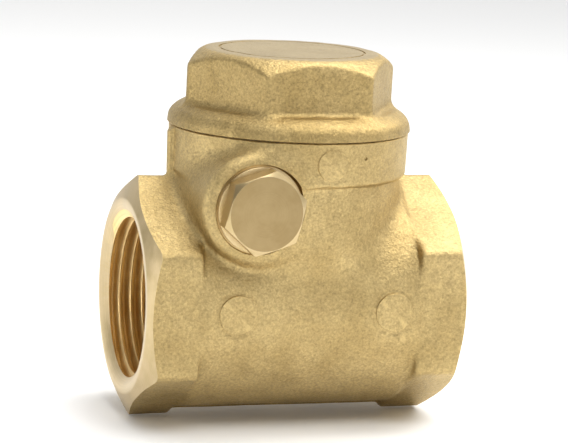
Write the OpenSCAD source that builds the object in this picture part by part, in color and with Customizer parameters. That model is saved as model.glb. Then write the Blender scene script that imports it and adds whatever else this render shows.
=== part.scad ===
// One inch swing check valve: forged body, screwed cap, side plug over the hinge pin.
// Flow runs along +X, +Z is up the neck, and the side plug faces -Y.
// The origin is on the pipe axis, in the plane where the inlet thread begins.

/* [Body] */
// Length of the body, end face to end face
face_to_face = 63.6; // [62:0.2:66]
// Width across the flats of the end hexagons
end_hex_af = 41; // [40.5:0.1:42]
// Length of each end hexagon
end_hex_len = 10.3; // [9.5:0.1:11]
// Radius of the turned end face inside its chamfer
end_face_r = 18.2; // [17.8:0.1:18.6]
// How far the end chamfer runs back at a hexagon corner
end_chamfer = 1.7; // [1.2:0.1:2]
// Outer radius of the barrel
barrel_r = 21.7; // [21.4:0.1:22]
// Outer radius of the neck under its ring
neck_r = 21.9; // [21.6:0.1:22.2]
// Outer radius of the ring at the top of the neck
ring_r = 23.1; // [22.8:0.1:23.4]
// Height of the ring's underside over the pipe axis
ring_low = 24.8; // [24.4:0.1:25.2]
// Height of the neck's top face over the pipe axis
neck_top = 33.1; // [33:0.1:33.4]
// Height of the parting line rib over the forged skin
rib_height = 1.0; // [0.6:0.1:1.2]
// Width of the parting line rib
rib_width = 1.8; // [1.4:0.1:2.4]
// Diameter of the ejector pads on the barrel
pad_d = 7.4; // [6.5:0.1:8]

/* [Ports] */
// Minor radius of the pipe thread
thread_minor_r = 15.145; // [15.1:0.005:15.2]
// Depth and widening of the chamfer into each port
port_entry = 2.2; // [2:0.1:2.4]
// Depth of each port from its end face
port_depth = 13; // [12.6:0.1:13.2]
// Radius of the hole through the seat wall
orifice_r = 10.8; // [10.4:0.1:11]
// Thickness of the seat wall
seat_wall = 3.4; // [3.2:0.1:3.6]
// Height of the seat bead over the wall
bead_height = 0.7; // [0.6:0.1:0.8]
// Radius of the round chamber in the barrel
chamber_r = 18.2; // [18:0.1:18.4]

/* [Neck] */
// Radius of the bore down the neck
neck_bore_r = 18; // [17.9:0.05:18.05]
// Height of the floor of the neck bore beside the ports
neck_floor = 18; // [17.8:0.1:18.2]
// Pitch radius of the cap thread in the neck
cap_thread_r = 19.05; // [19:0.05:19.1]
// Radial clearance of the two screwed joints
thread_gap = 0.05; // [0.03:0.01:0.08]
// Height of the bottom of the cap thread
cap_thread_low = 24.5; // [24.2:0.1:25]

/* [Cap] */
// Radius of the cap's flange
flange_r = 23.5; // [23.3:0.1:23.8]
// Thickness of the flange
flange_t = 4; // [3.8:0.1:4.4]
// Width across the flats of the cap's hexagon
cap_hex_af = 36.4; // [36:0.1:37]
// Height of the cap's top face over the pipe axis
cap_top = 47.9; // [47.5:0.1:48.4]
// Radius of the flat top inside the chamfer
cap_face_r = 17; // [16.8:0.1:17.2]
// Length of the screwed skirt under the flange
skirt_len = 6.5; // [6:0.1:6.6]
// Radius of the hollow inside the skirt
cap_hollow_r = 16.2; // [16:0.1:16.4]

/* [Side plug] */
// Distance of the hinge pin upstream of the neck axis
pin_back = 11.8; // [11.6:0.1:12]
// Height of the hinge pin over the pipe axis
pin_z = 20.5; // [20.3:0.1:20.7]
// Outer radius of the side boss
boss_r = 10.7; // [10.4:0.1:11]
// Distance of the washer's seat from the pipe axis
boss_seat = 21.5; // [21.3:0.1:21.7]
// Width across the flats of the plug's hexagon
plug_af = 14.2; // [14:0.1:14.4]
// Height of the plug's head
plug_head_h = 4; // [3.8:0.1:4.2]
// Turn of the plug's hexagon about its axis, in degrees
plug_turn = 18; // [0:1:59]
// Pitch radius of the plug's thread
plug_thread_r = 5.65; // [5.6:0.01:5.7]

/* [Swing gear] */
// Radius of the hinge pin
pin_r = 2; // [1.9:0.05:2.05]
// Radial clearance round the pin and the disc stud
running_gap = 0.06; // [0.04:0.01:0.08]
// Outer radius of the hanger's pin eye
eye_r = 3.4; // [3.2:0.1:3.4]
// Length of the hanger's pin eye
eye_len = 18; // [14:1:18]
// Outer radius of the disc holder
holder_r = 13.8; // [13.6:0.1:14]
// Radius of the rubber seat disc
seat_disc_r = 12.6; // [12.4:0.1:12.6]
// Thickness of the rubber seat disc
seat_disc_t = 2.5; // [2.4:0.1:2.6]
// Radius of the disc stud in the hanger
stud_r = 3; // [2.9:0.05:3]

/* [Hidden] */
$fn = 96;
eps = 0.01;
brass = [0.73, 0.62, 0.39];
turned_brass = [0.83, 0.72, 0.45];
steel = [0.66, 0.66, 0.67];
rubber = [0.07, 0.07, 0.07];
ptfe = [0.92, 0.91, 0.87];

// Stations along the pipe axis, measured from the inlet thread
inlet_face = -port_entry;
outlet_face = inlet_face + face_to_face;
neck_x = (inlet_face + outlet_face) / 2;
inlet_end = inlet_face + port_depth;
outlet_end = outlet_face - port_depth;
seat_face = inlet_end + seat_wall;
bead_face = seat_face + bead_height;
end_hex_r = end_hex_af / sqrt(3);
pin_x = neck_x - pin_back;

// Neck and cap levels
gasket_t = 1;
gasket_r = 21.5;
gasket_recess_r = 21.6;
gasket_low = neck_top + 0.2 - gasket_t;
flange_low = gasket_low + gasket_t;
flange_top = flange_low + flange_t;
cap_hex_r = cap_hex_af / sqrt(3);
cap_corner_r = cap_hex_r - 0.27;
cap_chamfer_h = (cap_hex_r - cap_face_r) * 0.75;
hollow_top = 43.5;
hollow_top_r = 12.5;
groove_r = 13.95;
groove_w = 0.35;
groove_depth = 0.2;

// Side plug levels, as distances from the pipe axis towards -Y
plug_washer_t = 0.8;
plug_washer_r = 8.1;
boss_end = boss_seat + 0.3;
boss_chamfer = 1.2;
head_low = boss_seat + plug_washer_t;
head_top = head_low + plug_head_h;
plug_shank_end = 13.8;
plug_hex_r = plug_af / sqrt(3);
plug_face_r = 7;
pin_end = 16.6;
pin_socket = 17;

// Swing gear stations along the pipe axis, with the disc closed
seat_gap = 0.05;
disc_face = bead_face + seat_gap;
holder_floor = disc_face + seat_disc_t;
holder_rim = disc_face + 0.8;
holder_back = holder_floor + 2;
spacer_back = holder_back + 0.6;
ring_front = spacer_back + 0.2;
ring_back = ring_front + 3;
washer_front = ring_back + 0.2;
nut_front = washer_front + 1;
nut_back = nut_front + 4.8;
stud_end = nut_back + 0.8;
spacer_r = 5;
hanger_ring_r = 6;
hanger_washer_r = 5.8;
hanger_nut_af = 10;
front_stud_r = 2.5;
front_washer_r = 6.5;
front_washer_t = 1;
front_nut_af = 8;
front_nut_t = 2.4;
front_stud_out = 0.5;
arm_w = 9;
lug_w = 8;
lug_t = 2.5;
lug_len = 5.5;

// A round bar along X, from x0 to x1
module x_bar(x0, x1, r) {
    translate([x0, 0, 0]) rotate([0, 90, 0]) cylinder(h = x1 - x0, r = r);
}

// A hexagonal bar along X with a corner at the top
module x_hex(x0, x1, af) {
    translate([x0, 0, 0]) rotate([0, 90, 0]) cylinder(h = x1 - x0, r = af / sqrt(3), $fn = 6);
}

// A solid turned about X, from points [x, radius]
module x_turned(points) {
    rotate([90, 0, 90]) rotate_extrude() polygon([for (p = points) [p[1], p[0]]]);
}

// A round bar along Y at the hinge pin's height, from y0 to y1
module pin_line_bar(y0, y1, r) {
    translate([pin_x, y1, pin_z]) rotate([90, 0, 0]) cylinder(h = y1 - y0, r = r);
}

// A solid turned about the hinge pin's line, from points [distance towards -Y, radius]
module pin_line_turned(points) {
    translate([pin_x, 0, pin_z]) rotate([90, 0, 0]) rotate_extrude()
        polygon([for (p = points) [p[1], p[0]]]);
}

// A round bar up the neck axis, from z0 to z1
module neck_bar(z0, z1, r) {
    translate([neck_x, 0, z0]) cylinder(h = z1 - z0, r = r);
}

// The two end hexagons with their turned chamfers
module end_hexes() {
    chamfer_slope = end_chamfer / (end_hex_r - end_face_r);
    clear_r = end_hex_r + 1;
    cone_len = chamfer_slope * (clear_r - end_face_r);
    intersection() {
        union() {
            x_hex(inlet_face, inlet_face + end_hex_len, end_hex_af);
            x_hex(outlet_face - end_hex_len, outlet_face, end_hex_af);
        }
        x_turned([
            [inlet_face, 0],
            [inlet_face, end_face_r],
            [inlet_face + cone_len, clear_r],
            [outlet_face - cone_len, clear_r],
            [outlet_face, end_face_r],
            [outlet_face, 0]
        ]);
    }
}

// Barrel, neck, ring and side boss
module outer_skin() {
    end_hexes();
    x_bar(inlet_face + end_hex_len - 1, outlet_face - end_hex_len + 1, barrel_r);
    neck_bar(0, ring_low + 1, neck_r);
    neck_bar(ring_low, neck_top, ring_r);
    pin_line_turned([
        [0, 0],
        [0, boss_r],
        [boss_end - boss_chamfer, boss_r],
        [boss_end, boss_r - boss_chamfer],
        [boss_end, 0]
    ]);
}

// Low round marks that the die's ejector pins leave, on both sides
module ejector_pads() {
    pad_x = 15.5;
    for (dx = [-pad_x, pad_x], side = [0, 180])
        translate([neck_x + dx, 0, 0.5]) rotate([90, 0, side])
            cylinder(h = barrel_r + 0.25, d = pad_d);
}

// The trimmed parting line under the barrel and up both sides of the neck
module parting_rib() {
    barrel_rib_len = face_to_face - 2 * end_hex_len;
    translate([neck_x - barrel_rib_len / 2, -rib_width / 2, -barrel_r - rib_height])
        cube([barrel_rib_len, rib_width, rib_height + 1]);
    translate([neck_x - ring_r - rib_height, -rib_width / 2, barrel_r - 2])
        cube([2 * (ring_r + rib_height), rib_width, neck_top - barrel_r + 2]);
}

// One threaded port with its entry chamfer, opening at x_mouth
module port(x_mouth, x_end) {
    way = x_mouth < x_end ? 1 : -1;
    x_bar(min(x_mouth, x_end), max(x_mouth, x_end), thread_minor_r);
    x_turned([
        [x_mouth - way * eps, 0],
        [x_mouth - way * eps, thread_minor_r + port_entry + eps],
        [x_mouth + way * port_entry, thread_minor_r],
        [x_mouth + way * port_entry, 0]
    ]);
}

// Everything that is bored out of the body, apart from the ports
module inner_bores() {
    x_bar(inlet_end - eps, seat_face + eps, orifice_r);
    x_bar(seat_face, outlet_end + eps, chamber_r);
    intersection() {
        neck_bar(0, neck_floor + eps, neck_bore_r);
        translate([seat_face, -neck_bore_r, 0])
            cube([outlet_end - seat_face, 2 * neck_bore_r, neck_floor + 1]);
    }
    neck_bar(neck_floor, cap_thread_low + eps, neck_bore_r);
    neck_bar(cap_thread_low, gasket_low + eps, cap_thread_r);
    neck_bar(gasket_low, neck_top + 1, gasket_recess_r);
    pin_line_bar(-boss_end - 1, -10, plug_thread_r);
    pin_line_bar(-boss_end - 1, -boss_seat, plug_washer_r + 0.3);
    pin_line_bar(0, pin_socket, pin_r + running_gap);
}

// The raised bead round the orifice that the rubber closes on
module seat_bead() {
    bead_w = 1.4;
    x_turned([
        [seat_face - 0.5, orifice_r],
        [bead_face, orifice_r],
        [bead_face, orifice_r + bead_w - 0.3],
        [seat_face, orifice_r + bead_w],
        [seat_face - 0.5, orifice_r + bead_w]
    ]);
}

module body() {
    color(brass) union() {
        difference() {
            union() {
                outer_skin();
                ejector_pads();
                parting_rib();
            }
            port(inlet_face, inlet_end);
            port(outlet_face, outlet_end);
            inner_bores();
        }
        seat_bead();
    }
}

module cap() {
    cone_low = cap_top - cap_chamfer_h;
    color(brass) translate([neck_x, 0, 0]) difference() {
        union() {
            rotate_extrude() polygon([
                [0, flange_low],
                [flange_r - 0.3, flange_low],
                [flange_r, flange_low + 0.3],
                [flange_r, flange_top - 1.6],
                [flange_r - 0.5, flange_top - 0.6],
                [flange_r - 1.6, flange_top],
                [0, flange_top + 1]
            ]);
            intersection() {
                translate([0, 0, flange_top - 1])
                    cylinder(h = cap_top - flange_top + 1, r = cap_hex_r, $fn = 6);
                rotate_extrude() polygon([
                    [0, flange_top - 1],
                    [cap_corner_r, flange_top - 1],
                    [cap_corner_r, cone_low + (cap_hex_r - cap_corner_r) * 0.75],
                    [cap_face_r, cap_top],
                    [0, cap_top]
                ]);
            }
            translate([0, 0, flange_low - skirt_len])
                cylinder(h = skirt_len + 1, r = cap_thread_r - thread_gap);
        }
        rotate_extrude() polygon([
            [0, flange_low - skirt_len - 1],
            [cap_hollow_r, flange_low - skirt_len - 1],
            [cap_hollow_r, flange_top],
            [hollow_top_r + 1, hollow_top - 1],
            [hollow_top_r, hollow_top],
            [0, hollow_top]
        ]);
        rotate_extrude() translate([groove_r - groove_w / 2, cap_top - groove_depth])
            square([groove_w, 1]);
    }
}

module cap_gasket() {
    color(ptfe) difference() {
        neck_bar(gasket_low, flange_low, gasket_r);
        neck_bar(gasket_low - 1, flange_low + 1, cap_thread_r + 0.1);
    }
}

module side_plug() {
    clear_r = plug_hex_r + 0.5;
    cone_t = (clear_r - plug_face_r) * 0.55;
    color(turned_brass) difference() {
        union() {
            intersection() {
                translate([pin_x, -head_low, pin_z]) rotate([90, plug_turn, 0])
                    cylinder(h = plug_head_h, r = plug_hex_r, $fn = 6);
                pin_line_turned([
                    [head_low, 0],
                    [head_low, clear_r],
                    [head_top - cone_t, clear_r],
                    [head_top, plug_face_r],
                    [head_top, 0]
                ]);
            }
            pin_line_turned([
                [plug_shank_end, 0],
                [plug_shank_end, plug_thread_r - thread_gap - 0.8],
                [plug_shank_end + 0.8, plug_thread_r - thread_gap],
                [head_low + 0.5, plug_thread_r - thread_gap],
                [head_low + 0.5, 0]
            ]);
        }
        pin_line_bar(-pin_socket, 0, pin_r + running_gap);
    }
}

module plug_washer() {
    color(turned_brass) difference() {
        pin_line_bar(-head_low, -boss_seat, plug_washer_r);
        pin_line_bar(-head_low - 1, 0, plug_thread_r + 0.1);
    }
}

module hinge_pin() {
    tip = 0.4;
    color(steel) pin_line_turned([
        [-pin_end, 0],
        [-pin_end, pin_r - tip],
        [-pin_end + tip, pin_r],
        [pin_end - tip, pin_r],
        [pin_end, pin_r - tip],
        [pin_end, 0]
    ]);
}

module hanger() {
    eye_under = pin_z - 5.7;
    color(brass) difference() {
        union() {
            pin_line_bar(-eye_len / 2, eye_len / 2, eye_r);
            x_bar(ring_front, ring_back, hanger_ring_r);
            translate([0, arm_w / 2, 0]) rotate([90, 0, 0]) linear_extrude(arm_w) polygon([
                [ring_front, 0],
                [ring_back, 0],
                [ring_back, pin_z - 5],
                [pin_x + eye_r - 0.4, pin_z + 1],
                [pin_x, pin_z],
                [pin_x - 2.6, pin_z - 1.9],
                [ring_front, eye_under]
            ]);
            translate([pin_x - lug_t / 2, -lug_w / 2, pin_z]) cube([lug_t, lug_w, lug_len]);
        }
        pin_line_bar(-eye_len, eye_len, pin_r + running_gap);
        x_bar(ring_front - 1, ring_back + 1, stud_r + running_gap);
    }
}

// A hexagonal nut along X with both faces chamfered
module x_nut(x0, x1, af, bore_r) {
    clear_r = af / sqrt(3) + 0.4;
    chamfer = (clear_r - af / 2) * 0.6;
    difference() {
        intersection() {
            x_hex(x0, x1, af);
            x_turned([
                [x0, 0],
                [x0, af / 2],
                [x0 + chamfer, clear_r],
                [x1 - chamfer, clear_r],
                [x1, af / 2],
                [x1, 0]
            ]);
        }
        x_bar(x0 - 1, x1 + 1, bore_r);
    }
}

module hanger_nut() {
    color(turned_brass) x_nut(nut_front, nut_back, hanger_nut_af, stud_r);
}

module hanger_washer() {
    color(turned_brass) difference() {
        x_bar(washer_front, nut_front, hanger_washer_r);
        x_bar(washer_front - 1, nut_front + 1, stud_r);
    }
}

module disc_holder() {
    rim_chamfer = 0.5;
    front_stud_end = disc_face - front_washer_t - front_nut_t - front_stud_out;
    color(brass) x_turned([
        [front_stud_end, 0],
        [front_stud_end, front_stud_r - 0.4],
        [front_stud_end + 0.4, front_stud_r],
        [holder_floor, front_stud_r],
        [holder_floor, seat_disc_r],
        [holder_rim, seat_disc_r],
        [holder_rim, holder_r - rim_chamfer],
        [holder_rim + rim_chamfer, holder_r],
        [holder_back - rim_chamfer, holder_r],
        [holder_back, holder_r - rim_chamfer],
        [holder_back, spacer_r],
        [spacer_back, spacer_r],
        [spacer_back, stud_r],
        [stud_end - 0.5, stud_r],
        [stud_end, stud_r - 0.5],
        [stud_end, 0]
    ]);
}

module seat_disc() {
    color(rubber) difference() {
        x_bar(disc_face, holder_floor, seat_disc_r);
        x_bar(disc_face - 1, holder_floor + 1, front_stud_r);
    }
}

module seat_disc_washer() {
    color(turned_brass) difference() {
        x_bar(disc_face - front_washer_t, disc_face, front_washer_r);
        x_bar(disc_face - front_washer_t - 1, disc_face + 1, front_stud_r);
    }
}

module seat_disc_nut() {
    nut_back_x = disc_face - front_washer_t;
    color(turned_brass) x_nut(nut_back_x - front_nut_t, nut_back_x, front_nut_af, front_stud_r);
}

body();
cap();
cap_gasket();
side_plug();
plug_washer();
hinge_pin();
hanger();
hanger_nut();
hanger_washer();
disc_holder();
seat_disc();
seat_disc_washer();
seat_disc_nut();
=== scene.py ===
import math

import bmesh
import bpy
import numpy as np
from mathutils import Matrix, Vector

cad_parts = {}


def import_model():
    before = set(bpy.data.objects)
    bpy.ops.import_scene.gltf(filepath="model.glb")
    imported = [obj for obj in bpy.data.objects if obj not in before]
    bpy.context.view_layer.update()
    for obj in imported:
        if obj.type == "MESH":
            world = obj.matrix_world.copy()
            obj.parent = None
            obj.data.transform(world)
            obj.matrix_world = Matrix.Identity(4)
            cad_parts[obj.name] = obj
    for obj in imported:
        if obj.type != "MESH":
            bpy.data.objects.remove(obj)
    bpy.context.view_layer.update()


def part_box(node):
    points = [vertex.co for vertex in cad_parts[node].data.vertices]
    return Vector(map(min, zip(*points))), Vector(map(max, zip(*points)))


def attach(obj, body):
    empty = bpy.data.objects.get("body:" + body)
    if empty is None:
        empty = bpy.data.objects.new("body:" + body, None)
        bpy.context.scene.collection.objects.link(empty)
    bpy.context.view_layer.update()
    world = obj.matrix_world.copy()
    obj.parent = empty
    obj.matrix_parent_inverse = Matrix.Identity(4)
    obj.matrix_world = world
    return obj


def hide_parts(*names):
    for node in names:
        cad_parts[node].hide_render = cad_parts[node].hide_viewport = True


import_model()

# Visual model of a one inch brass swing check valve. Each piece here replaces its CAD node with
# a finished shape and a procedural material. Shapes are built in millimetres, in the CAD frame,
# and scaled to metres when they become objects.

MM = 0.001
SCENE = bpy.context.scene


def cad_box(node):
    """A CAD node's lowest and highest corners, in millimetres."""
    low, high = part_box(node)
    return np.array(low) / MM, np.array(high) / MM


# ---------------------------------------------------------------- driving dimensions (mm)

body_low, body_high = cad_box("body")
cap_low, cap_high = cad_box("cap")
pin_low, pin_high = cad_box("hinge_pin")
washer_low, washer_high = cad_box("plug_washer")
plug_low = cad_box("side_plug")[0]

INLET_FACE, OUTLET_FACE = body_low[0], body_high[0]
HALF = (OUTLET_FACE - INLET_FACE) / 2
NECK_X = (OUTLET_FACE + INLET_FACE) / 2
NECK_TOP = body_high[2]
PIN_X = (pin_low[0] + pin_high[0]) / 2
PIN_Z = (pin_low[2] + pin_high[2]) / 2
BOSS_SEAT = -washer_high[1]
HEAD_LOW = -washer_low[1]
HEAD_TOP = -plug_low[1]
CAP_TOP = cap_high[2]
SKIRT_LOW = cap_low[2]

# Forged skin of the body
END_HEX_AF = 41.0
END_HEX_LEN = 10.3
END_FACE_R = 18.9
END_CONE_SLOPE = 2.3 / (END_HEX_AF / math.sqrt(3) - END_FACE_R)
BARREL_R = 21.4
NECK_R = 21.9
RING_R, RING_LOW = 23.1, 24.8
BOSS_R, BOSS_END = 10.7, 21.7
RIB_HEIGHT, RIB_WIDTH = 1.0, 1.8
# Ejector pads: x from the neck's axis, z, radius
PADS = ((-14.8, 0.5, 3.7), (16.1, 0.5, 3.7), (1.6, 29.0, 2.9))

# Ports, seat and chamber
PIPE_PITCH = 25.4 / 11
PIPE_MINOR, PIPE_MAJOR = 15.145, 16.62
PORT_ENTRY, PORT_MOUTH_R, PORT_DEPTH = 1.2, 17.6, 13.0
PORT_RUN_IN = 2.43            # how far outside the mouth the tap starts, which sets the thread's angle
ORIFICE_R = 10.8
SEAT_WALL, BEAD_HEIGHT, BEAD_WIDTH = 3.4, 0.7, 1.4
CHAMBER_R = 18.2
SEAT_FACE = INLET_FACE + PORT_DEPTH + SEAT_WALL
BEAD_FACE = SEAT_FACE + BEAD_HEIGHT
OUTLET_END = OUTLET_FACE - PORT_DEPTH

# Neck bore and cap thread
NECK_BORE_R, NECK_FLOOR = 18.0, 18.0
CAP_THREAD_LOW, GASKET_LOW, GASKET_RECESS_R = 24.5, 32.3, 21.6
CAP_PITCH, CAP_MINOR, CAP_MAJOR = 1.5, 18.62, 19.42
SCREW_GAP = 0.08
CAP_TAP_R = CAP_MINOR + SCREW_GAP - 0.02

# Side plug
PLUG_PITCH, PLUG_MINOR, PLUG_MAJOR = 1.25, 5.33, 5.93
PLUG_HEX_AF, PLUG_FACE_R, PLUG_TURN = 14.2, 7.0, 18.0
PLUG_TIP = 13.8
PLUG_TAP_R = PLUG_MINOR + SCREW_GAP - 0.02
SPOT_FACE_R = 8.5
PIN_R, RUN_GAP = 2.0, 0.06

# Disc assembly and soft rings
FRONT_STUD_R, REAR_STUD_R = 2.5, 3.0
STUD_CLEARANCE = 0.02
GASKET_INNER, GASKET_OUTER = 19.55, 21.5
PLUG_WASHER_INNER, PLUG_WASHER_OUTER = 6.05, 8.1


# ---------------------------------------------------------------- mesh building

X_AXIS = Matrix(((0, 0, 1), (1, 0, 0), (0, 1, 0)))
PIN_AXIS = Matrix(((1, 0, 0), (0, 0, -1), (0, 1, 0)))
Z_AXIS = Matrix.Identity(3)


def new_object(name, points, faces, material):
    mesh = bpy.data.meshes.new(name)
    mesh.from_pydata(np.asarray(points, float).tolist(), [], [list(map(int, f)) for f in faces])
    mesh.materials.append(material)
    mesh.validate()
    piece = bpy.data.objects.new(name, mesh)
    SCENE.collection.objects.link(piece)
    return piece


def placed(points, axis, centre):
    """Points of a shape made about the local Z axis, turned to axis and moved to centre."""
    return np.asarray(points, float) @ np.array(axis).T + np.asarray(centre, float)


def rounded(corners, steps=4):
    """A closed or open outline from (along, radius, fillet) corners, with each fillet as an arc."""
    outline = []
    for i, (a, r, fillet) in enumerate(corners):
        here = np.array([a, r], float)
        if not fillet or i in (0, len(corners) - 1):
            outline.append(here)
            continue
        back = np.array(corners[i - 1][:2], float) - here
        on = np.array(corners[i + 1][:2], float) - here
        back_len, on_len = np.linalg.norm(back), np.linalg.norm(on)
        half = math.acos(np.clip(back @ on / (back_len * on_len), -1, 1)) / 2
        reach = min(fillet / math.tan(half), back_len * 0.49, on_len * 0.49)
        start, end = here + back / back_len * reach, here + on / on_len * reach
        for step in range(steps + 1):
            t = step / steps
            outline.append((1 - t) ** 2 * start + 2 * t * (1 - t) * here + t * t * end)
    return [tuple(p) for p in outline]


def lathe(name, outline, axis, centre, material, segments=128):
    """A solid turned about an axis. The outline is (along, radius) points; one that starts and ends
    on the axis is a plain solid, and any other is closed on itself as a ring."""
    ring = outline[0][1] > 0
    angles = np.linspace(0, 2 * math.pi, segments, endpoint=False)
    points, rows = [], []
    for along, radius in outline:
        if radius > 1e-6:
            rows.append(list(range(len(points), len(points) + segments)))
            points += [(radius * math.cos(a), radius * math.sin(a), along) for a in angles]
        else:
            rows.append([len(points)] * segments)
            points.append((0, 0, along))
    faces = []
    for row, after in zip(rows, rows[1:] + ([rows[0]] if ring else [])):
        for s in range(segments):
            n = (s + 1) % segments
            quad = [row[s], row[n], after[n], after[s]]
            face = list(dict.fromkeys(quad))
            if len(face) > 2:
                faces.append(face)
    piece = new_object(name, placed(points, axis, centre), faces, material)
    outward(piece)
    return piece


def outward(piece):
    """Turns every face of a closed mesh outward."""
    shape = bmesh.new()
    shape.from_mesh(piece.data)
    bmesh.ops.recalc_face_normals(shape, faces=shape.faces)
    if shape.calc_volume(signed=True) < 0:
        bmesh.ops.reverse_faces(shape, faces=shape.faces)
    shape.to_mesh(piece.data)
    shape.free()


def prism(name, corners, low, high, axis, centre, material):
    """A straight prism along an axis, on a convex outline of (u, v) corners."""
    count = len(corners)
    points = [(u, v, z) for z in (low, high) for u, v in corners]
    sides = [[i, (i + 1) % count, (i + 1) % count + count, i + count] for i in range(count)]
    caps = [list(range(count))[::-1], list(range(count, 2 * count))]
    piece = new_object(name, placed(points, axis, centre), sides + caps, material)
    outward(piece)
    return piece


def hexagon(across_flats, turn=0.0, corner=0.0, steps=4):
    """Corners of a hexagon, each rounded to the corner radius."""
    radius = across_flats / math.sqrt(3)
    if not corner:
        return [(radius * math.cos(math.radians(turn + 60 * k)),
                 radius * math.sin(math.radians(turn + 60 * k))) for k in range(6)]
    centre_r = radius - corner / math.cos(math.radians(30))
    outline = []
    for k in range(6):
        middle = math.radians(turn + 60 * k)
        for step in range(steps + 1):
            a = middle + math.radians(-30 + 60 * step / steps)
            outline.append((centre_r * math.cos(middle) + corner * math.cos(a),
                            centre_r * math.sin(middle) + corner * math.sin(a)))
    return outline


# One pitch of a thread, as (share of the pitch, share of the depth), with soft crest and root
THREAD_FORM = [(0.0, 0.0), (0.11, 0.0), (0.17, 0.12), (0.41, 0.88), (0.47, 1.0),
               (0.61, 1.0), (0.67, 0.88), (0.93, 0.12)]


def screw(name, low, high, pitch, minor, major, axis, centre, material, segments=96):
    """A threaded bar from low to high, right-handed, cut off square at both ends."""
    turns = math.ceil((high - low) / pitch) + 2
    start = low - 1.5 * pitch
    points, form = [], THREAD_FORM
    for t in range(turns * segments + 1):
        angle = 2 * math.pi * t / segments
        for share, depth in form:
            radius = minor + depth * (major - minor)
            along = start + pitch * (t / segments + share)
            points.append((radius * math.cos(angle), radius * math.sin(angle), along))
    width, last = len(form), turns * segments
    at = lambda t, k: t * width + k if k < width else (t + segments) * width
    faces = [[at(t, k), at(t + 1, k), at(t + 1, k + 1), at(t, k + 1)]
             for t in range(last) for k in range(width) if k < width - 1 or t + 1 + segments <= last]
    first_edge = [at(t, 0) for t in range(segments + 1)] + [at(0, k) for k in range(width - 1, 0, -1)]
    last_edge = [at(last, k) for k in range(1, width)]
    open_side = [at(t, width - 1) for t in range(last - segments, last + 1)]
    points += [(0, 0, start - 1), (0, 0, start + pitch * (turns + 1))]
    bottom, top = len(points) - 2, len(points) - 1
    loop = first_edge
    faces += [[loop[i], bottom, loop[(i + 1) % len(loop)]] for i in range(len(loop))]
    loop = open_side + last_edge[-2::-1] + [at(last, 0)]
    loop = list(dict.fromkeys(loop))
    faces += [[loop[(i + 1) % len(loop)], top, loop[i]] for i in range(len(loop))]
    bar = new_object(name, placed(points, axis, centre), faces, material)
    outward(bar)
    trim = lathe("trim", [(low, 0), (low, major + 1), (high, major + 1), (high, 0)],
                 axis, centre, material, 32)
    return boolean(bar, trim, "INTERSECT")


def boolean(piece, tool, operation):
    """piece cut, joined or crossed with tool, which is used up. Cut faces keep the tool's material."""
    change = piece.modifiers.new("change", "BOOLEAN")
    change.object = tool
    change.operation = operation
    change.solver = "MANIFOLD"
    change.material_mode = "TRANSFER"
    view = bpy.context.evaluated_depsgraph_get()
    mesh = bpy.data.meshes.new_from_object(piece.evaluated_get(view))
    if not len(mesh.polygons):
        raise RuntimeError(f"{operation} of {piece.name} with {tool.name} left nothing")
    piece.modifiers.clear()
    piece.data = mesh
    bpy.data.objects.remove(tool)
    return piece


def finish_piece(piece, body, node, sharp=32):
    """Scales a piece to metres, shades it, and puts it in the frame in place of its CAD node."""
    piece.data.transform(Matrix.Scale(MM, 4))
    piece.name = piece.data.name = node + "_visual"
    piece.data.shade_smooth()
    piece.data.set_sharp_from_angle(angle=math.radians(sharp))
    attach(piece, body)
    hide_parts(node)
    return piece


# ---------------------------------------------------------------- forged skins from distance fields

def soft_min(a, b, k):
    h = np.clip(0.5 + 0.5 * (b - a) / k, 0, 1)
    return b + (a - b) * h - k * h * (1 - h)


def soft_max(a, b, k):
    return -soft_min(-a, -b, k)


def grid(low, high, step):
    """Axis stations and the three coordinate arrays of a box."""
    stations = [np.arange(a, b + step, step) for a, b in zip(low, high)]
    return stations, np.meshgrid(*stations, indexing="ij")


def lumps(x, y, z, cell, seed):
    """Smooth noise from -1 to 1 whose bumps are about cell across."""
    table = np.random.default_rng(seed).uniform(-1, 1, (64, 64, 64))
    coords = [c / cell + 1000 for c in (x, y, z)]
    whole = [np.floor(c).astype(int) for c in coords]
    part = [c - w for c, w in zip(coords, whole)]
    part = [p * p * (3 - 2 * p) for p in part]
    total = 0
    for i in (0, 1):
        for j in (0, 1):
            for k in (0, 1):
                weight = ((part[0] if i else 1 - part[0]) * (part[1] if j else 1 - part[1])
                          * (part[2] if k else 1 - part[2]))
                total = total + weight * table[(whole[0] + i) % 64, (whole[1] + j) % 64,
                                               (whole[2] + k) % 64]
    return total


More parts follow.
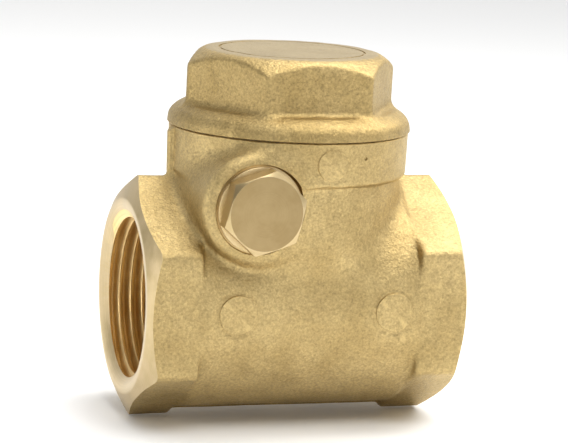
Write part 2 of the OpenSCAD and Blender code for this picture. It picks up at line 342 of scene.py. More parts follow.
def surface(name, stations, field, material):
    """The zero surface of a field sampled on a grid, as quads with one point per crossed cell."""
    inside = field < 0
    size = np.array(field.shape) - 1
    corners = [(i, j, k) for i in (0, 1) for j in (0, 1) for k in (0, 1)]
    count = sum(inside[i:i + size[0], j:j + size[1], k:k + size[2]].astype(np.int8)
                for i, j, k in corners)
    cells = np.argwhere((count > 0) & (count < 8))
    values = np.stack([field[tuple((cells + c).T)] for c in corners], 1)
    total, hits = np.zeros((len(cells), 3)), np.zeros(len(cells))
    for a, ca in enumerate(corners):
        for b, cb in enumerate(corners):
            if b > a and sum(abs(np.subtract(ca, cb))) == 1:
                va, vb = values[:, a], values[:, b]
                crossed = (va < 0) != (vb < 0)
                share = np.where(crossed, va / np.where(crossed, va - vb, 1), 0)
                total += crossed[:, None] * (np.array(ca) + share[:, None] * np.subtract(cb, ca))
                hits += crossed
    step = stations[0][1] - stations[0][0]
    points = np.array([s[0] for s in stations]) + step * (cells + total / hits[:, None])
    index = np.full(size, -1)
    index[tuple(cells.T)] = np.arange(len(cells))
    quads = []
    for axis in range(3):
        u, v = (axis + 1) % 3, (axis + 2) % 3
        low, high = [slice(1, -1)] * 3, [slice(1, -1)] * 3
        low[axis], high[axis] = slice(0, -1), slice(1, None)
        first, second = inside[tuple(low)], inside[tuple(high)]
        at = np.argwhere(first != second)
        leaving = first[tuple(at.T)]
        at = at + [0 if k == axis else 1 for k in range(3)]
        ring = []
        for du, dv in ((1, 1), (0, 1), (0, 0), (1, 0)):
            cell = at.copy()
            cell[:, u] -= du
            cell[:, v] -= dv
            ring.append(index[tuple(cell.T)])
        quad = np.stack(ring, 1)
        quad[~leaving] = quad[~leaving][:, ::-1]
        quads.append(quad)
    return new_object(name, points, np.concatenate(quads), material)


# ---------------------------------------------------------------- materials

class Shader:
    """A material with a metallic or plastic base, and short calls that add nodes to it."""

    def __init__(self, name, metallic, colour, roughness):
        self.material = bpy.data.materials.new(name)
        self.material.use_nodes = True
        self.tree = self.material.node_tree
        self.base = self.tree.nodes["Principled BSDF"]
        self.base.inputs["Metallic"].default_value = metallic
        self.base.inputs["Base Color"].default_value = (*colour, 1)
        self.base.inputs["Roughness"].default_value = roughness
        where = self.tree.nodes.new("ShaderNodeTexCoord")
        scale = self.tree.nodes.new("ShaderNodeVectorMath")
        scale.operation = "SCALE"
        scale.inputs["Scale"].default_value = 1 / MM
        self.tree.links.new(where.outputs["Object"], scale.inputs[0])
        self.place = scale.outputs[0]

    def node(self, kind, output=0, **inputs):
        """Adds a node. Names in inputs are sockets, with _ for a space, or the node's settings."""
        new = self.tree.nodes.new(kind)
        for key, value in inputs.items():
            socket = new.inputs.get(key.replace("_", " "))
            if socket is None and key.startswith("in"):
                socket = new.inputs[int(key[2:])]
            if socket is None:
                setattr(new, key, value)
            elif isinstance(value, bpy.types.NodeSocket):
                self.tree.links.new(value, socket)
            else:
                socket.default_value = value
        return new.outputs[output]

    def math(self, operation, a, b=0.0):
        return self.node("ShaderNodeMath", operation=operation, in0=a, in1=b)

    def noise(self, per_mm, detail=2.0, rough=0.5, vector=None):
        return self.node("ShaderNodeTexNoise", Vector=vector or self.place, Scale=per_mm,
                         Detail=detail, Roughness=rough)

    def ranged(self, value, low, high, to_low, to_high):
        return self.node("ShaderNodeMapRange", Value=value, From_Min=low, From_Max=high,
                         To_Min=to_low, To_Max=to_high)

    def blend(self, factor, a, b, mode="MIX"):
        new = self.tree.nodes.new("ShaderNodeMix")
        new.data_type = "RGBA"
        new.blend_type = mode
        for socket, value in ((new.inputs[0], factor), (new.inputs[6], a), (new.inputs[7], b)):
            if isinstance(value, bpy.types.NodeSocket):
                self.tree.links.new(value, socket)
            else:
                socket.default_value = (*value, 1) if isinstance(value, tuple) else value
        return new.outputs[2]

    def set(self, socket, value):
        self.tree.links.new(value, self.base.inputs[socket])

    def bump(self, height, depth_mm, strength=1.0, under=None):
        inputs = {"Height": height, "Distance": depth_mm * MM, "Strength": strength}
        if under is not None:
            inputs["Normal"] = under
        return self.node("ShaderNodeBump", **inputs)


def forged_brass(name, light, dark, grain_mm=0.45, grain_depth=0.13, rough=(0.42, 0.58),
                 contrast=1.0):
    """Shot-blasted forging: fine dimples, small bright flecks and slow changes of tone."""
    s = Shader(name, 1.0, light, 0.45)
    grain = s.noise(1 / grain_mm, 4, 0.65)
    flecks = s.noise(2.2 / grain_mm, 1, 0.5)
    peen = s.noise(0.42 / grain_mm, 2, 0.5)
    cloud = s.noise(0.11, 3, 0.6)
    colour = s.blend(s.ranged(cloud, 0.35, 0.68, 0.0, 1.0), dark, light)
    speck = s.ranged(grain, 0.30, 0.70, 1 - 0.36 * contrast, 1 + 0.32 * contrast)
    pits = s.ranged(s.noise(0.9, 2, 0.6), 0.56, 0.70, 1.0, 1 - 0.2 * contrast)
    speck = s.math("MULTIPLY", speck, pits)
    colour = s.blend(1.0, colour, s.node("ShaderNodeCombineColor", Red=speck, Green=speck, Blue=speck),
                     "MULTIPLY")
    # Lighter colour on sharp edges by pointiness: partly rubbed-edge wear, partly a painted highlight along
    # the ridges.
    edge = s.node("ShaderNodeNewGeometry", output="Pointiness")
    edge_wear_and_highlight = s.ranged(edge, 0.51, 0.60, 0.0, 0.5)
    colour = s.blend(edge_wear_and_highlight, colour, tuple(min(1.0, c * 1.3) for c in light))
    s.set("Base Color", colour)
    s.set("Roughness", s.ranged(flecks, 0.3, 0.7, rough[0], rough[1]))
    broad = s.bump(peen, grain_depth * 1.2, 1.0)
    s.set("Normal", s.bump(grain, grain_depth, 1.0, broad))
    return s.material


def turned_brass(name, light, dark, axis, centre, lines_per_mm=7.0, depth=0.006, rough=(0.28, 0.42),
                 contrast=1.0):
    """Machined brass: fine feed lines round an axis, on faces, cones and bores alike."""
    s = Shader(name, 1.0, light, 0.28)
    split = s.node("ShaderNodeSeparateXYZ", Vector=s.place)
    parts = [split, split.node.outputs[1], split.node.outputs[2]]
    along = parts[axis]
    across = [s.math("SUBTRACT", parts[k], centre[k]) for k in range(3) if k != axis]
    squares = [s.math("MULTIPLY", a, a) for a in across]
    radius = s.math("SQRT", s.math("ADD", *squares))
    feed = s.math("ADD", radius, along)
    lines = s.node("ShaderNodeTexNoise", noise_dimensions="1D", W=feed, Scale=lines_per_mm,
                   Detail=3.0, Roughness=0.7)
    stain = s.noise(0.22, 3, 0.6)
    colour = s.blend(s.ranged(stain, 0.35, 0.65, 0.0, 1.0), dark, light)
    band = s.ranged(lines, 0.3, 0.7, 1 - 0.12 * contrast, 1 + 0.08 * contrast)
    colour = s.blend(1.0, colour, s.node("ShaderNodeCombineColor", Red=band, Green=band, Blue=band),
                     "MULTIPLY")
    s.set("Base Color", colour)
    s.set("Roughness", s.ranged(stain, 0.3, 0.7, rough[0], rough[1]))
    s.set("Normal", s.bump(lines, depth, 1.0))
    return s.material


def rubber(name):
    """Moulded nitrile: near black, dull, with a fine bloom."""
    s = Shader(name, 0.0, (0.02, 0.02, 0.022), 0.6)
    fine = s.noise(3.0, 3, 0.6)
    bloom = s.ranged(s.noise(0.3, 3, 0.6), 0.4, 0.7, 0.0, 1.0)
    s.set("Base Color", s.blend(bloom, (0.014, 0.014, 0.015), (0.035, 0.034, 0.034)))
    s.set("Roughness", s.ranged(fine, 0.3, 0.7, 0.5, 0.72))
    s.set("Normal", s.bump(fine, 0.01, 1.0))
    return s.material


def ptfe(name):
    """Skived PTFE sheet: warm white and waxy, with faint knife lines."""
    s = Shader(name, 0.0, (0.82, 0.81, 0.76), 0.4)
    s.base.inputs["Subsurface Weight"].default_value = 0.15
    s.base.inputs["Subsurface Scale"].default_value = 0.4 * MM
    lines = s.noise(1.5, 3, 0.6, s.node("ShaderNodeVectorMath", operation="MULTIPLY", in0=s.place,
                                        in1=(0.2, 3.0, 1.0)))
    s.set("Base Color", s.blend(lines, (0.76, 0.74, 0.68), (0.88, 0.87, 0.83)))
    s.set("Normal", s.bump(lines, 0.006, 1.0))
    return s.material


def ground_steel(name, axis, centre):
    """Centreless-ground stainless: fine rings, bright and cool."""
    s = Shader(name, 1.0, (0.6, 0.6, 0.61), 0.25)
    split = s.node("ShaderNodeSeparateXYZ", Vector=s.place)
    along = split.node.outputs[axis]
    lines = s.node("ShaderNodeTexNoise", noise_dimensions="1D", W=along, Scale=9.0, Detail=3.0,
                   Roughness=0.7)
    s.set("Base Color", s.blend(lines, (0.50, 0.50, 0.51), (0.68, 0.68, 0.69)))
    s.set("Roughness", s.ranged(lines, 0.3, 0.7, 0.18, 0.34))
    s.set("Normal", s.bump(lines, 0.003, 1.0))
    return s.material


PIPE_CENTRE = (0, 0, 0)
NECK_CENTRE = (NECK_X, 0, 0)
PIN_CENTRE = (PIN_X, 0, PIN_Z)
BLAST_LIGHT, BLAST_DARK = (0.505, 0.382, 0.176), (0.405, 0.298, 0.128)
CAP_LIGHT, CAP_DARK = (0.455, 0.338, 0.150), (0.365, 0.264, 0.108)
TOP_LIGHT, TOP_DARK = (0.41, 0.325, 0.185), (0.36, 0.280, 0.155)
TURN_LIGHT, TURN_DARK = (0.60, 0.47, 0.27), (0.51, 0.39, 0.20)
# Bore threads: base colour well above the other turned brass. Part of that is the brighter fresh-cut metal,
# and part is painted light standing in for light inside the port bore.
THREAD_LIGHT, THREAD_DARK = (0.88, 0.66, 0.32), (0.80, 0.57, 0.25)
# Plug end face: a darker copy of the turned brass, as painted shade in place of a dimmer reflection on that
# face.
SHADED_PLUG_FACE_LIGHT, SHADED_PLUG_FACE_DARK = (0.36, 0.265, 0.130), (0.30, 0.215, 0.100)
BLASTED = forged_brass("blasted_brass", BLAST_LIGHT, BLAST_DARK, contrast=0.75)
BLASTED_CAP = forged_brass("blasted_cap_brass", CAP_LIGHT, CAP_DARK, contrast=0.85)
CAP_FACE = forged_brass("cap_face_brass", TOP_LIGHT, TOP_DARK, 0.30, 0.05, (0.44, 0.56), 0.5)
AS_CAST = forged_brass("cast_brass", (0.80, 0.60, 0.28), (0.66, 0.45, 0.18), 0.6, 0.08)
TURNED_PORT = turned_brass("turned_port_brass", TURN_LIGHT, TURN_DARK, 0, PIPE_CENTRE)
# Turned brass for the port threads, with the lightened colour that carries painted light in the bore.
THREADED_PORT_BRIGHTENED = turned_brass("threaded_port_brass", THREAD_LIGHT, THREAD_DARK, 0, PIPE_CENTRE, 5.0, 0.004,
                             (0.34, 0.46))
TURNED_NECK = turned_brass("turned_neck_brass", TURN_LIGHT, TURN_DARK, 2, NECK_CENTRE)
PLUG_FACE_SHADED = turned_brass("faced_plug_brass", SHADED_PLUG_FACE_LIGHT, SHADED_PLUG_FACE_DARK, 1, PIN_CENTRE, 5.0, 0.002,
                          (0.36, 0.46), 0.35)
TURNED_PIN = turned_brass("turned_plug_brass", TURN_LIGHT, TURN_DARK, 1, PIN_CENTRE)
RUBBER = rubber("nitrile_rubber")
PTFE = ptfe("ptfe_sheet")
STEEL = ground_steel("pin_steel", 1, PIN_CENTRE)


# ---------------------------------------------------------------- body

def body_skin():
    """The forging before machining."""
    step = 0.5
    margin = 1.5
    low = (INLET_FACE - margin, -BARREL_R - 4, -END_HEX_AF / math.sqrt(3) - margin)
    high = (OUTLET_FACE + margin, BARREL_R + 4, NECK_TOP + margin)
    stations, (x, y, z) = grid(low, high, step)
    x = x - NECK_X
    side = np.abs(x)
    pipe_r = np.sqrt(y ** 2 + z ** 2)
    neck_d = np.sqrt(x ** 2 + y ** 2)

    # End hexagons, with a corner at the top, soft along the forged edges
    lean_a = np.abs(0.5 * y + 0.866 * z)
    lean_b = np.abs(-0.5 * y + 0.866 * z)
    across = soft_max(soft_max(lean_a, lean_b, 0.7), np.abs(y), 1.1) - END_HEX_AF / 2
    hexes = soft_max(across, HALF - END_HEX_LEN - side, 1.0)
    hexes = np.maximum(hexes, side - HALF - 1)

    barrel = soft_max(pipe_r - BARREL_R, side - (HALF - END_HEX_LEN + 0.2), 1.6)
    neck = soft_max(neck_d - NECK_R, 6.5 - z, 8.0)
    ring = soft_max(neck_d - RING_R - 0.02 * (z - 29), RING_LOW - z, 0.5)
    ring = np.maximum(ring, z - NECK_TOP - 1)
    neck = np.maximum(neck, z - RING_LOW - 1)
    core = soft_min(barrel, neck, 3.2)
    skin = soft_min(core, hexes, 1.1)
    skin = soft_min(skin, ring, 0.7)

    # Side boss over the hinge pin, blended wide into the neck and barrel
    boss_d = np.sqrt((x + NECK_X - PIN_X) ** 2 + (z - PIN_Z) ** 2)
    boss = soft_max(boss_d - BOSS_R, -y - BOSS_END, 2.4)
    boss = np.maximum(boss, y)
    skin = soft_min(skin, boss, 2.2)

    # Trimmed parting line in the X-Z plane, under the barrel and up the neck
    rib = soft_max(soft_min(core, ring, 0.7) - RIB_HEIGHT, np.abs(y) - RIB_WIDTH / 2, 0.4)
    rib = np.maximum(rib, z - NECK_TOP - 1)
    skin = soft_min(skin, rib, 0.6)

    # Shallow ring round each ejector pad
    for pad_x, pad_z, radius in PADS:
        pad_d = np.sqrt((x - pad_x) ** 2 + (z - pad_z) ** 2)
        ring_cut = 0.15 * (1 + np.cos(math.pi * np.clip((pad_d - radius - 0.35) / 0.7, -1, 1)))
        skin = np.where(np.abs(y) > 15, skin + ring_cut, skin)

    skin = skin + 0.05 * lumps(x, y, z, 3.6, 1) + 0.025 * lumps(x, y, z, 1.3, 2)
    return surface("body", stations, skin, BLASTED)


def body():
    skin = body_skin()
    far = 60.0
    cone_x = HALF - (far - END_FACE_R) * END_CONE_SLOPE
    faced = lathe("faced", rounded([
        (-HALF, 0, 0), (-HALF, END_FACE_R, 1.2), (-cone_x, far, 0),
        (cone_x, far, 0), (HALF, END_FACE_R, 1.2), (HALF, 0, 0)]),
        X_AXIS, (NECK_X, 0, 0), TURNED_PORT, 192)
    boolean(skin, faced, "INTERSECT")

    # Ejector pads: low flat discs on the curved skin, front and back
    for pad_x, pad_z, radius in PADS:
        face = (BARREL_R if pad_z < 10 else RING_R) + 0.1
        for facing in (1, -1):
            pad = lathe("pad", rounded([(facing * (face - 4), 0, 0), (facing * (face - 4), radius, 0),
                                        (facing * face, radius, 0.15), (facing * face, 0, 0)]),
                        PIN_AXIS, (NECK_X + pad_x, 0, pad_z), BLASTED, 64)
            boolean(skin, pad, "UNION")

    # Ports: thread, then the entry chamfer
    over = 0.4
    for sign, mouth in ((1, INLET_FACE), (-1, OUTLET_FACE)):
        deep = mouth + sign * PORT_DEPTH
        low, high = sorted((mouth - sign * PORT_RUN_IN, deep))
        tap = screw("tap", low, high, PIPE_PITCH, PIPE_MINOR, PIPE_MAJOR, X_AXIS, PIPE_CENTRE,
                    THREADED_PORT_BRIGHTENED, 128)
        boolean(skin, tap, "DIFFERENCE")
        entry = lathe("entry", [
            (mouth - sign * over, 0), (mouth - sign * over, PORT_MOUTH_R + over * 2),
            (mouth + sign * PORT_ENTRY, PIPE_MINOR), (mouth + sign * PORT_ENTRY, 0)],
            X_AXIS, PIPE_CENTRE, TURNED_PORT, 192)
        boolean(skin, entry, "DIFFERENCE")

    chamber = lathe("chamber", rounded([
        (INLET_FACE + PORT_DEPTH - 0.6, 0, 0), (INLET_FACE + PORT_DEPTH - 0.6, ORIFICE_R + 0.5, 0),
        (INLET_FACE + PORT_DEPTH + 0.1, ORIFICE_R, 0), (BEAD_FACE, ORIFICE_R, 0.2),
        (BEAD_FACE, ORIFICE_R + BEAD_WIDTH - 0.3, 0.25), (SEAT_FACE, ORIFICE_R + BEAD_WIDTH, 0.3),
        (SEAT_FACE, CHAMBER_R, 1.0), (OUTLET_END + 0.3, CHAMBER_R, 0.5), (OUTLET_END + 0.3, 0, 0)]),
        X_AXIS, PIPE_CENTRE, TURNED_PORT)
    boolean(skin, chamber, "DIFFERENCE")

    # Neck: lower bore between the seat wall and the outlet, full bore, thread, gasket recess
    reach = NECK_BORE_R - 0.02
    start = math.acos((SEAT_FACE - NECK_X) / reach)
    arc = [(reach * math.cos(a), reach * math.sin(a)) for a in np.linspace(-start, start, 96)]
    boolean(skin, prism("lower_bore", arc, 2.0, NECK_FLOOR + 1, Z_AXIS, NECK_CENTRE, AS_CAST),
            "DIFFERENCE")
    upper = lathe("upper_bore", rounded([
        (NECK_FLOOR, 0, 0), (NECK_FLOOR, NECK_BORE_R, 0.8), (CAP_THREAD_LOW, NECK_BORE_R, 0),
        (CAP_THREAD_LOW + 0.7, CAP_TAP_R, 0), (GASKET_LOW, CAP_TAP_R, 0),
        (GASKET_LOW, GASKET_RECESS_R, 0), (NECK_TOP + 3, GASKET_RECESS_R, 0), (NECK_TOP + 3, 0, 0)]),
        Z_AXIS, NECK_CENTRE, TURNED_NECK)
    boolean(skin, upper, "DIFFERENCE")
    tap = screw("cap_tap", CAP_THREAD_LOW + 0.3, GASKET_LOW + 0.2, CAP_PITCH, CAP_MINOR + SCREW_GAP,
                CAP_MAJOR + SCREW_GAP, Z_AXIS, NECK_CENTRE, TURNED_NECK, 128)
    boolean(skin, tap, "DIFFERENCE")
    boolean(skin, prism("neck_face", [(-50, -50), (50, -50), (50, 50), (-50, 50)], NECK_TOP, NECK_TOP + 5,
                        Z_AXIS, NECK_CENTRE, TURNED_NECK), "DIFFERENCE")

    rim = lathe("rim", [(NECK_TOP + 1, RING_R - 1.1), (NECK_TOP + 1, RING_R + 4),
                        (NECK_TOP - 4.1, RING_R + 4)], Z_AXIS, NECK_CENTRE, BLASTED)
    boolean(skin, rim, "DIFFERENCE")

    # A small casting pit on the ring
    pit_angle = math.radians(-68)
    pit_x, pit_y = RING_R * math.cos(pit_angle), RING_R * math.sin(pit_angle)
    pit = lathe("pit", rounded([(-pit_y - 0.35, 0, 0), (-pit_y - 0.35, 0.22, 0.15), (-pit_y + 0.5, 0.5, 0),
                                (-pit_y + 0.5, 0, 0)]), PIN_AXIS, (NECK_X + pit_x, 0, 30.1), BLASTED, 16)
    boolean(skin, pit, "DIFFERENCE")

    # Side plug hole with its spot face, and the blind hole for the pin's far end
    spot = lathe("spot_face", rounded([
        (10, 0, 0), (10, PLUG_TAP_R, 0), (BOSS_SEAT - 0.5, PLUG_TAP_R, 0),
        (BOSS_SEAT, PLUG_MINOR + 0.7, 0), (BOSS_SEAT, SPOT_FACE_R, 0.3),
        (BOSS_SEAT + 4, SPOT_FACE_R + 0.9, 0), (BOSS_SEAT + 4, 0, 0)]), PIN_AXIS, PIN_CENTRE, TURNED_PIN)
    boolean(skin, spot, "DIFFERENCE")
    tap = screw("plug_tap", 10, BOSS_SEAT + 0.5, PLUG_PITCH, PLUG_MINOR + SCREW_GAP, PLUG_MAJOR + SCREW_GAP,
                PIN_AXIS, PIN_CENTRE, TURNED_PIN, 64)
    boolean(skin, tap, "DIFFERENCE")
    hole = lathe("pin_hole", [(-17, 0), (-17, PIN_R + RUN_GAP), (5, PIN_R + RUN_GAP), (5, 0)],
                 PIN_AXIS, PIN_CENTRE, TURNED_PIN, 64)
    boolean(skin, hole, "DIFFERENCE")
    finish_piece(skin, "body", "body", sharp=35)
    return skin


# ---------------------------------------------------------------- cap

CAP_HEX_AF = 36.4
FLANGE_R, FLANGE_T = 23.5, 4.0
FLANGE_LOW = NECK_TOP + 0.2


def cap_skin():
    """The cap's flange and hexagon as forged."""
    step = 0.45
    low = (NECK_X - FLANGE_R - 1.5, -FLANGE_R - 1.5, FLANGE_LOW - 1.5)
    high = (NECK_X + FLANGE_R + 1.5, FLANGE_R + 1.5, CAP_TOP + 1.5)
    stations, (x, y, z) = grid(low, high, step)
    x = x - NECK_X
    radius = np.sqrt(x ** 2 + y ** 2)
    lean_a = np.abs(0.866 * x + 0.5 * y)
    lean_b = np.abs(-0.866 * x + 0.5 * y)
    hexagonal = soft_max(soft_max(lean_a, lean_b, 0.7), np.abs(y), 0.7) - CAP_HEX_AF / 2 + 0.02
    slope = math.radians(36.9)
    chamfer = (radius - 17.0) * math.sin(slope) + (z - CAP_TOP) * math.cos(slope)
    hexagonal = soft_max(hexagonal, chamfer, 0.5)
    hexagonal = soft_max(hexagonal, z - CAP_TOP, 0.8)
    hexagonal = np.maximum(hexagonal, FLANGE_LOW + 1 - z)
    top = FLANGE_LOW + FLANGE_T - 0.55 * np.clip(radius - 20.6, 0, 3)
    flange = soft_max(radius - FLANGE_R + 0.12 * (z - FLANGE_LOW), z - top, 1.5)
    flange = np.maximum(flange, FLANGE_LOW - 1 - z)
    skin = soft_min(flange, hexagonal, 1.5)
    skin = skin + 0.04 * lumps(x, y, z, 3.2, 3) + 0.02 * lumps(x, y, z, 1.3, 4)
    return surface("cap", stations, skin, BLASTED_CAP)


def cap():
    skin = cap_skin()
    boolean(skin, prism("cap_face", [(-50, -50), (50, -50), (50, 50), (-50, 50)], FLANGE_LOW - 5, FLANGE_LOW,
                        Z_AXIS, NECK_CENTRE, TURNED_NECK), "DIFFERENCE")
    under_edge = lathe("under_edge", [
        (FLANGE_LOW - 1, FLANGE_R - 1.15), (FLANGE_LOW - 1, FLANGE_R + 4), (FLANGE_LOW + 4.15, FLANGE_R + 4)],
        Z_AXIS, NECK_CENTRE, BLASTED_CAP)
    boolean(skin, under_edge, "DIFFERENCE")
    groove = lathe("groove", [(CAP_TOP - 0.22, 13.75), (CAP_TOP - 0.22, 14.15), (CAP_TOP + 1, 14.3),
                              (CAP_TOP + 1, 13.6)], Z_AXIS, NECK_CENTRE, BLASTED_CAP, 192)
    boolean(skin, groove, "DIFFERENCE")
    skirt = screw("skirt", SKIRT_LOW, FLANGE_LOW + 1, CAP_PITCH, CAP_MINOR, CAP_MAJOR, Z_AXIS, NECK_CENTRE,
                  TURNED_NECK, 128)
    lead = lathe("lead", [(SKIRT_LOW, 0), (SKIRT_LOW, CAP_MINOR - 0.2), (SKIRT_LOW + 0.9, CAP_MAJOR + 0.1),
                          (FLANGE_LOW - 1.0, CAP_MAJOR + 0.1), (FLANGE_LOW - 0.6, CAP_MINOR - 0.05),
                          (FLANGE_LOW + 1, CAP_MINOR - 0.05), (FLANGE_LOW + 1, 0)],
                 Z_AXIS, NECK_CENTRE, TURNED_NECK)
    boolean(skirt, lead, "INTERSECT")
    boolean(skin, skirt, "UNION")
    bore = 16.2
    hollow = lathe("hollow", rounded([
        (SKIRT_LOW - 1, 0, 0), (SKIRT_LOW - 1, bore, 0), (FLANGE_LOW + FLANGE_T, bore, 1.5),
        (42.5, 13.5, 1.5), (43.5, 11.0, 1.0), (43.5, 0, 0)]), Z_AXIS, NECK_CENTRE, AS_CAST)
    boolean(skin, hollow, "DIFFERENCE")
    skin.data.materials.append(CAP_FACE)
    for face in skin.data.polygons:
        if face.normal.z > 0.97 and face.center.z > CAP_TOP - 0.4:
            face.material_index = len(skin.data.materials) - 1
    finish_piece(skin, "cap", "cap", sharp=35)
    return skin


# ---------------------------------------------------------------- plug, washers, nuts, pin, gasket

def side_plug():
    head = prism("side_plug", hexagon(PLUG_HEX_AF, PLUG_TURN, 0.15, 3), HEAD_LOW, HEAD_TOP, PIN_AXIS,
                 PIN_CENTRE, TURNED_PIN)
    corner = PLUG_HEX_AF / math.sqrt(3) + 0.5
    chamfer_low = HEAD_TOP - (corner - PLUG_FACE_R) * 0.55
    cone = lathe("cone", rounded([
        (HEAD_LOW - 1, 0, 0), (HEAD_LOW - 1, corner, 0), (chamfer_low, corner, 0),
        (HEAD_TOP, PLUG_FACE_R, 0.25), (HEAD_TOP, 0, 0)]), PIN_AXIS, PIN_CENTRE, TURNED_PIN, 192)
    boolean(head, cone, "INTERSECT")
    shank = screw("shank", PLUG_TIP, HEAD_LOW + 0.4, PLUG_PITCH, PLUG_MINOR, PLUG_MAJOR, PIN_AXIS,
                  PIN_CENTRE, TURNED_PIN, 64)
    lead = lathe("lead", [(PLUG_TIP, 0), (PLUG_TIP, PLUG_MINOR - 0.2), (PLUG_TIP + 0.8, PLUG_MAJOR + 0.1),
                          (HEAD_LOW - 1.6, PLUG_MAJOR + 0.1), (HEAD_LOW - 1.3, PLUG_MINOR - 0.05),
                          (HEAD_LOW + 0.4, PLUG_MINOR - 0.05), (HEAD_LOW + 0.4, 0)],
                 PIN_AXIS, PIN_CENTRE, TURNED_PIN, 64)
    boolean(shank, lead, "INTERSECT")
    boolean(head, shank, "UNION")
    hole = lathe("hole", [(10, 0), (10, PIN_R + RUN_GAP), (17, PIN_R + RUN_GAP), (17.8, 0)],
                 PIN_AXIS, PIN_CENTRE, TURNED_PIN, 64)
    boolean(head, hole, "DIFFERENCE")
    # The plug's end face takes the darker copy of turned brass, which is painted shade.
    head.data.materials.append(PLUG_FACE_SHADED)
    for face in head.data.polygons:
        if face.normal.y < -0.99 and face.center.y < -HEAD_TOP + 0.2:
            face.material_index = len(head.data.materials) - 1
    return finish_piece(head, "side_plug", "side_plug", sharp=25)


def ring_piece(name, body, inner, outer, low, high, axis, centre, material, edge=0.12):
    """A flat ring with softly broken edges."""
    middle = (inner + outer) / 2
    outline = rounded([(low, middle, 0), (low, outer, edge), (high, outer, edge), (high, inner, edge),
                       (low, inner, edge), (low, middle, 0)])[:-1]
    piece = lathe(name, outline, axis, centre, material, 160)
    return finish_piece(piece, body, name, sharp=30)


def nut(name, body, across_flats, bore):
    """A hexagon nut along X, chamfered on both faces, with its thread's entry chamfers."""
    low, high = cad_box(name)
    x0, x1 = low[0], high[0]
    blank = prism(name, hexagon(across_flats, 0, 0.12, 3), x0, x1, X_AXIS, PIPE_CENTRE, TURNED_PORT)
    corner = across_flats / math.sqrt(3) + 0.4
    back = (corner - across_flats / 2) * 0.6
    cone = lathe("cone", [(x0, 0), (x0, across_flats / 2), (x0 + back, corner), (x1 - back, corner),
                          (x1, across_flats / 2), (x1, 0)], X_AXIS, PIPE_CENTRE, TURNED_PORT, 96)
    boolean(blank, cone, "INTERSECT")
    bevel = 0.35
    hole = lathe("hole", [(x0 - 1, 0), (x0 - 1, bore + bevel + 1), (x0 + bevel, bore), (x1 - bevel, bore),
                          (x1 + 1, bore + bevel + 1), (x1 + 1, 0)], X_AXIS, PIPE_CENTRE, TURNED_PORT, 64)
    boolean(blank, hole, "DIFFERENCE")
    return finish_piece(blank, body, name, sharp=25)


def hinge_pin():
    length = (pin_high[1] - pin_low[1]) / 2
    outline = rounded([(-length, 0, 0), (-length, PIN_R - 0.4, 0.15), (-length + 0.4, PIN_R, 0.15),
                       (length - 0.4, PIN_R, 0.15), (length, PIN_R - 0.4, 0.15), (length, 0, 0)])
    piece = lathe("hinge_pin", outline, PIN_AXIS, PIN_CENTRE, STEEL, 64)
    return finish_piece(piece, "hinge_pin", "hinge_pin")


# ---------------------------------------------------------------- hanger and disc

def hanger():
    low, high = cad_box("hanger")
    ring_back = high[0]
    ring_front = ring_back - 3.0
    eye_r, eye_half, arm_half, knee_half = 3.4, 9.0, 4.5, 1.7
    arm_top, knee_low, ring_r, ring_bore = 15.2, 13.5, 6.0, 3.06
    stations, (x, y, z) = grid(low - 1.5, high + 1.5, 0.4)
    eye_d = np.sqrt((x - PIN_X) ** 2 + (z - PIN_Z) ** 2)
    eye = soft_max(eye_d - eye_r, np.abs(y) - eye_half, 0.6)
    ring_d = np.sqrt(y ** 2 + z ** 2)
    slab = np.maximum(x - ring_back, ring_front - x)
    ring = soft_max(ring_d - ring_r, slab, 0.5)
    arm = soft_max(slab, np.abs(y) - arm_half - 0.05 * (8 - z), 0.8)
    arm = np.maximum(arm, np.maximum(-z, z - arm_top))
    lean = (x - (ring_front + ring_back) / 2) * 0.80 + (z - 15.0) * 0.60
    knee = np.maximum(np.abs(lean) - knee_half, np.abs(y) - arm_half)
    knee = np.maximum(knee, np.maximum(knee_low - z, z - PIN_Z))
    lug = soft_max(np.abs(x - PIN_X) - 1.2, np.abs(y) - 3.9, 0.5)
    lug = soft_max(lug, np.maximum(z - PIN_Z - 5.4, PIN_Z - z), 0.5)
    shape = soft_min(ring, arm, 0.8)
    shape = soft_min(shape, knee, 1.6)
    shape = soft_min(shape, eye, 1.2)
    shape = soft_min(shape, lug, 0.8)
    shape = shape + 0.04 * lumps(x, y, z, 1.8, 5)
    piece = surface("hanger", stations, shape, AS_CAST)
    boolean(piece, lathe("eye_bore", [(-12, 0), (-12, PIN_R + RUN_GAP), (12, PIN_R + RUN_GAP), (12, 0)],
                         PIN_AXIS, PIN_CENTRE, TURNED_PIN, 64), "DIFFERENCE")
    boolean(piece, lathe("ring_bore", [(ring_front - 2, 0), (ring_front - 2, ring_bore),
                                       (ring_back + 2, ring_bore), (ring_back + 2, 0)],
                         X_AXIS, PIPE_CENTRE, TURNED_PORT, 64), "DIFFERENCE")
    return finish_piece(piece, "hanger", "hanger", sharp=40)


def disc_holder():
    low, high = cad_box("disc_holder")
    disc_low, disc_high = cad_box("seat_disc")
    floor, rim = disc_high[0], disc_low[0] + 0.8
    back, spacer = floor + 2.0, floor + 2.6
    outer, pocket = (high[2] - low[2]) / 2, (disc_high[2] - disc_low[2]) / 2
    turned = lathe("disc_holder", rounded([
        (low[0], 0, 0), (low[0], FRONT_STUD_R - 0.4, 0.1), (low[0] + 0.4, FRONT_STUD_R, 0.1),
        (floor, FRONT_STUD_R, 0), (floor, pocket, 0),
        (rim, pocket, 0.15), (rim, outer, 0.5), (back, outer, 1.3), (back - 0.25, outer - 2.2, 0.5),
        (back - 0.25, 7.0, 0.4), (back, 5.4, 0.3), (spacer, 5.0, 0.2),
        (spacer, REAR_STUD_R, 0), (high[0] - 0.5, REAR_STUD_R, 0.1), (high[0], REAR_STUD_R - 0.5, 0.1),
        (high[0], 0, 0)]), X_AXIS, PIPE_CENTRE, TURNED_PORT, 160)
    return finish_piece(turned, "disc", "disc_holder", sharp=30)


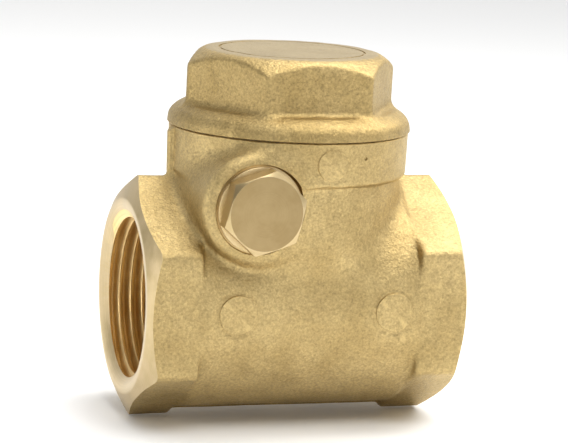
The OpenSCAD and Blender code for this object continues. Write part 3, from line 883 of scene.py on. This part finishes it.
def seat_disc():
    low, high = cad_box("seat_disc")
    outer = (high[2] - low[2]) / 2 - 0.02
    return ring_piece("seat_disc", "disc", FRONT_STUD_R + STUD_CLEARANCE, outer, low[0], high[0] - 0.01,
                      X_AXIS, PIPE_CENTRE, RUBBER, 0.2)


body()
cap()
side_plug()
hinge_pin()
hanger()
disc_holder()
seat_disc()
gasket_low, gasket_high = cad_box("cap_gasket")
ring_piece("cap_gasket", "cap_gasket", GASKET_INNER, GASKET_OUTER, gasket_low[2], gasket_high[2],
           Z_AXIS, NECK_CENTRE, PTFE, 0.1)
ring_piece("plug_washer", "plug_washer", PLUG_WASHER_INNER, PLUG_WASHER_OUTER, BOSS_SEAT, HEAD_LOW,
           PIN_AXIS, PIN_CENTRE, TURNED_PIN)
for name, stud, outer in (("seat_disc_washer", FRONT_STUD_R, 6.5), ("hanger_washer", REAR_STUD_R, 5.8)):
    low, high = cad_box(name)
    ring_piece(name, "disc", stud + STUD_CLEARANCE, outer, low[0], high[0], X_AXIS, PIPE_CENTRE, TURNED_PORT)
nut("seat_disc_nut", "disc", 8.0, FRONT_STUD_R + STUD_CLEARANCE)
nut("hanger_nut", "disc", 10.0, REAR_STUD_R + STUD_CLEARANCE)


# ---------------------------------------------------------------- stage, light and camera

def stage():
    """A pale floor under the lowest point."""
    reach = 6.0
    drop = -END_HEX_AF / math.sqrt(3) * MM
    mesh = bpy.data.meshes.new("floor")
    corners = [(u * reach, v * reach, drop) for u, v in ((-1, -1), (1, -1), (1, 1), (-1, 1))]
    mesh.from_pydata(corners, [], [[0, 1, 2, 3]])
    floor = bpy.data.objects.new("floor", mesh)
    SCENE.collection.objects.link(floor)
    pale = bpy.data.materials.new("pale_floor")
    pale.use_nodes = True
    pale.node_tree.nodes["Principled BSDF"].inputs["Base Color"].default_value = (0.93, 0.93, 0.925, 1)
    pale.node_tree.nodes["Principled BSDF"].inputs["Roughness"].default_value = 0.7
    mesh.materials.append(pale)


def softbox(name, place, target, width, height, power, colour=(1, 1, 1)):
    light = bpy.data.lights.new(name, "AREA")
    light.shape = "RECTANGLE"
    light.size, light.size_y = width, height
    light.energy = power
    light.color = colour
    lamp = bpy.data.objects.new(name, light)
    lamp.location = place
    lamp.rotation_euler = (Vector(target) - Vector(place)).to_track_quat("-Z", "Y").to_euler()
    SCENE.collection.objects.link(lamp)


def camera():
    """At the photograph's viewing angle: low, from the front and a little to the inlet's side."""
    azimuth, elevation, roll = math.radians(-18.03), math.radians(10.15), math.radians(2.87)
    distance, focal_px, width_px = 528.3 * MM, 2714.7, 568
    target = Vector(((NECK_X + 0.08) * MM, 0, 14.26 * MM))
    away = Vector((math.sin(azimuth) * math.cos(elevation), -math.cos(azimuth) * math.cos(elevation),
                   math.sin(elevation)))
    lens = bpy.data.cameras.new("camera")
    lens.sensor_width = 36.0
    lens.lens = focal_px / width_px * lens.sensor_width
    lens.clip_start, lens.clip_end = 0.01, 50
    view = bpy.data.objects.new("camera", lens)
    turn = (-away).to_track_quat("-Z", "Y") @ Matrix.Rotation(roll, 4, "Z").to_quaternion()
    view.matrix_world = Matrix.Translation(target + away * distance) @ turn.to_matrix().to_4x4()
    SCENE.collection.objects.link(view)
    SCENE.camera = view


def world():
    """Soft studio light: brightest to the back and the right, and dimmer at the front left."""
    sky = bpy.data.worlds.new("studio")
    sky.use_nodes = True
    nodes, links = sky.node_tree.nodes, sky.node_tree.links
    where = nodes.new("ShaderNodeTexCoord")
    side = nodes.new("ShaderNodeVectorMath")
    side.operation = "DOT_PRODUCT"
    side.inputs[1].default_value = (0.62, 0.60, 0.50)
    ramp = nodes.new("ShaderNodeMapRange")
    ramp.interpolation_type = "SMOOTHSTEP"
    ramp.inputs["From Min"].default_value = -0.9
    ramp.inputs["From Max"].default_value = 0.8
    ramp.inputs["To Min"].default_value = 0.25
    ramp.inputs["To Max"].default_value = 1.10
    links.new(where.outputs["Generated"], side.inputs[0])
    links.new(side.outputs["Value"], ramp.inputs["Value"])
    links.new(ramp.outputs[0], nodes["Background"].inputs["Color"])
    nodes["Background"].inputs["Strength"].default_value = 0.86
    SCENE.world = sky


stage()
world()
camera()
aim = (NECK_X * MM, 0, 12 * MM)
softbox("key", (0.42, 0.00, 0.36), aim, 0.34, 0.26, 1.7, (1.0, 0.98, 0.94))
softbox("top", (0.14, 0.10, 0.60), aim, 0.40, 0.40, 2.4)
softbox("front", (0.06, -0.42, 0.60), (NECK_X * MM, -0.05, -0.02), 0.4, 0.3, 2.0)
softbox("left", (-0.55, -0.30, 0.30), aim, 0.10, 0.16, 0.10)
softbox("mouth", (-0.62, 0.10, 0.06), aim, 0.26, 0.30, 0.30)
softbox("strip", (-0.29, -0.02, 0.035), (0, 0.01, 0), 0.12, 0.03, 0.13)
softbox("low", (0.0, -0.42, 0.010), (NECK_X * MM, 0, -0.02), 0.30, 0.04, 0.11)
SCENE.view_settings.view_transform = "Standard"
SCENE.view_settings.exposure = 0.0
